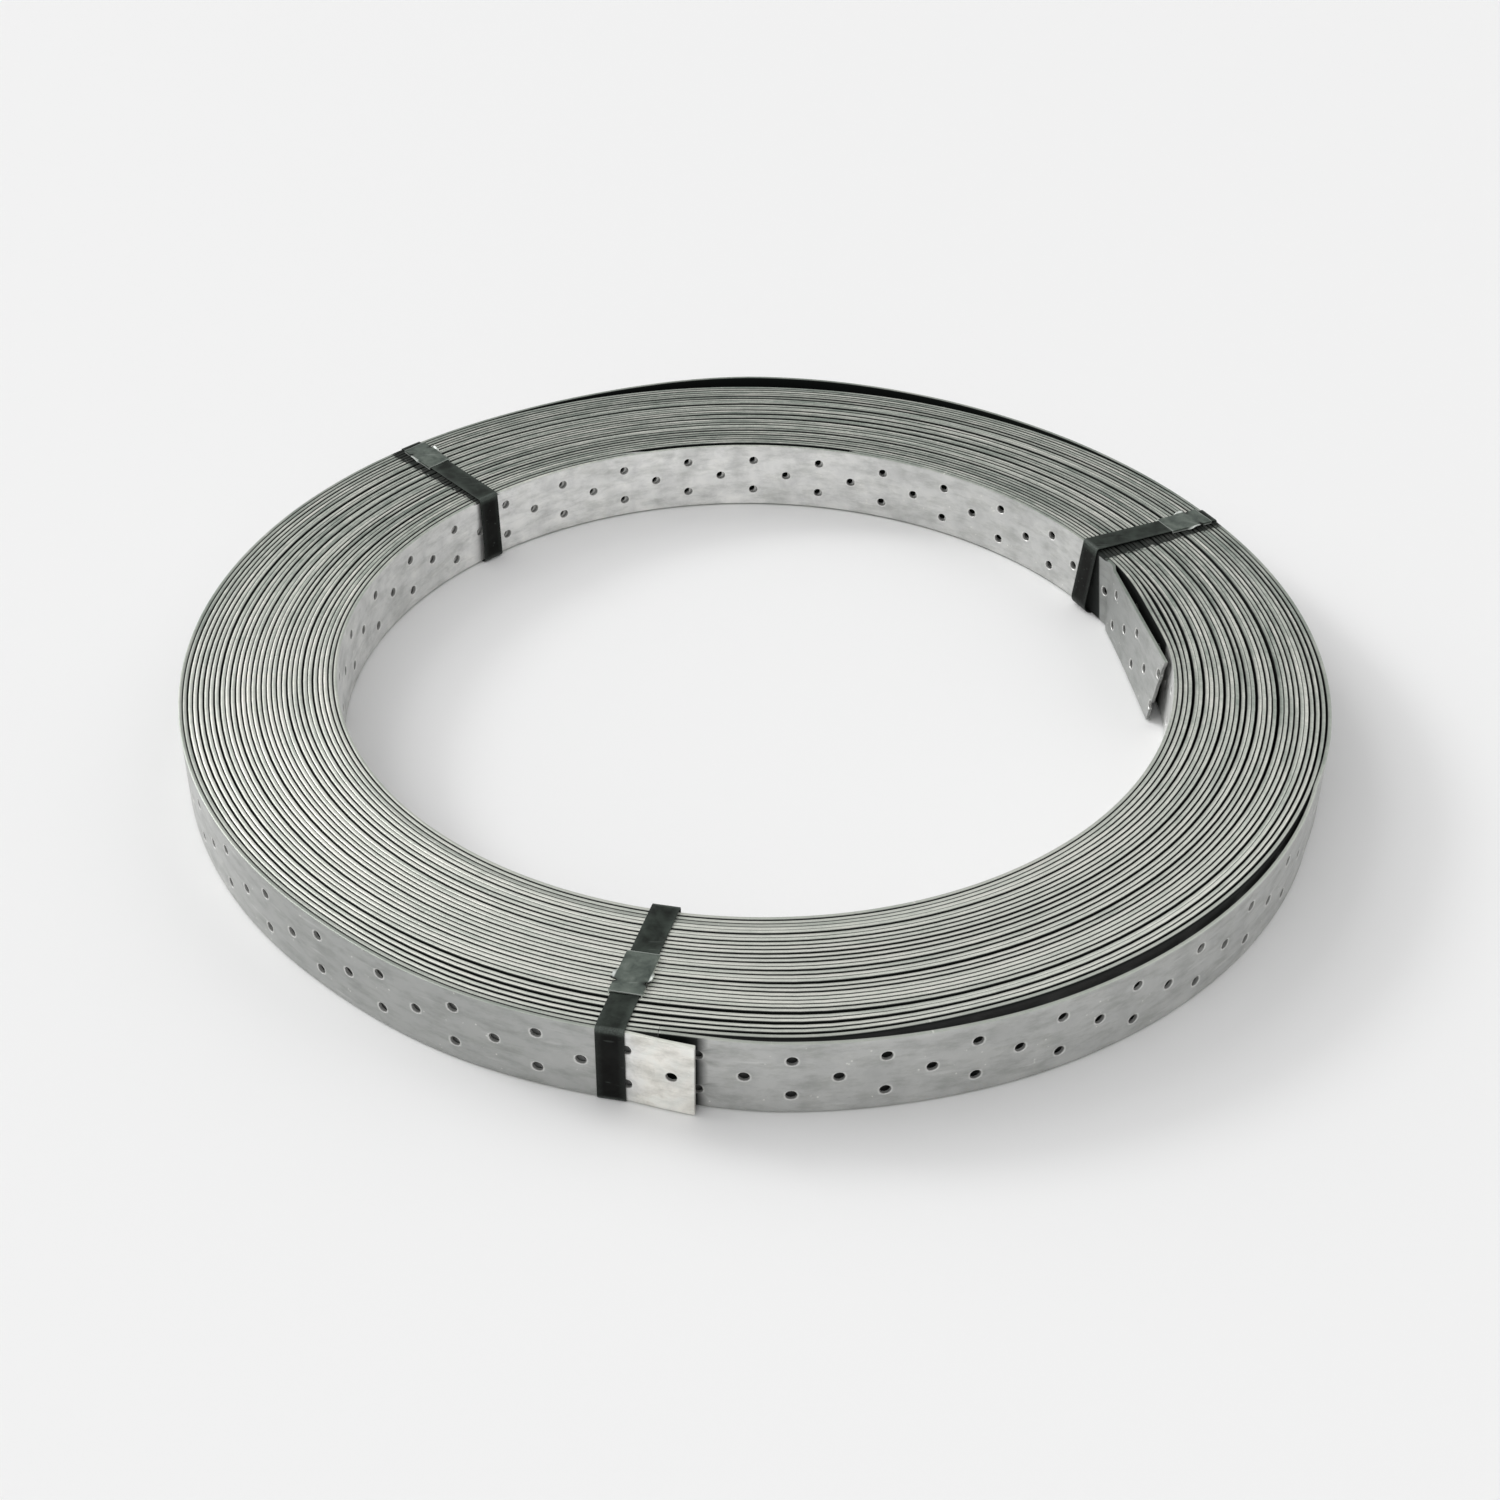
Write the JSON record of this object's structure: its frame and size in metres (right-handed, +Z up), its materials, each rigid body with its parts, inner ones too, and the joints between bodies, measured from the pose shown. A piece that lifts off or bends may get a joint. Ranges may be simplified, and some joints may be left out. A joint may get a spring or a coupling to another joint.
{
  "type": "wind bracing strap coil",
  "caption": "Flat-lying coil of perforated galvanised steel wind bracing strap, held by crimped packing bands.",
  "frame": {"origin": "middle of the coil's outline on the floor, at the undersides of the packing bands", "axes": "+Z is up along the coil's axis, which is also its shortest side; -Y is the front, where the outer tail ends"},
  "size_m": [0.5986, 0.616, 0.0432],
  "materials": {
    "galvanised_strap": "dull hot-dip galvanised, faintly mottled",
    "packing_band": "black varnish with a soft sheen",
    "band_seal": "grey-green zinc with a soft sheen"
  },
  "bodies": {
    "root": {"strap_coil": "galvanised_strap", "band_front": "packing_band", "band_back_left": "packing_band", "band_back_right": "packing_band", "seal_front": "band_seal", "seal_back_left": "band_seal", "seal_back_right": "band_seal"}
  },
  "joints": []
}
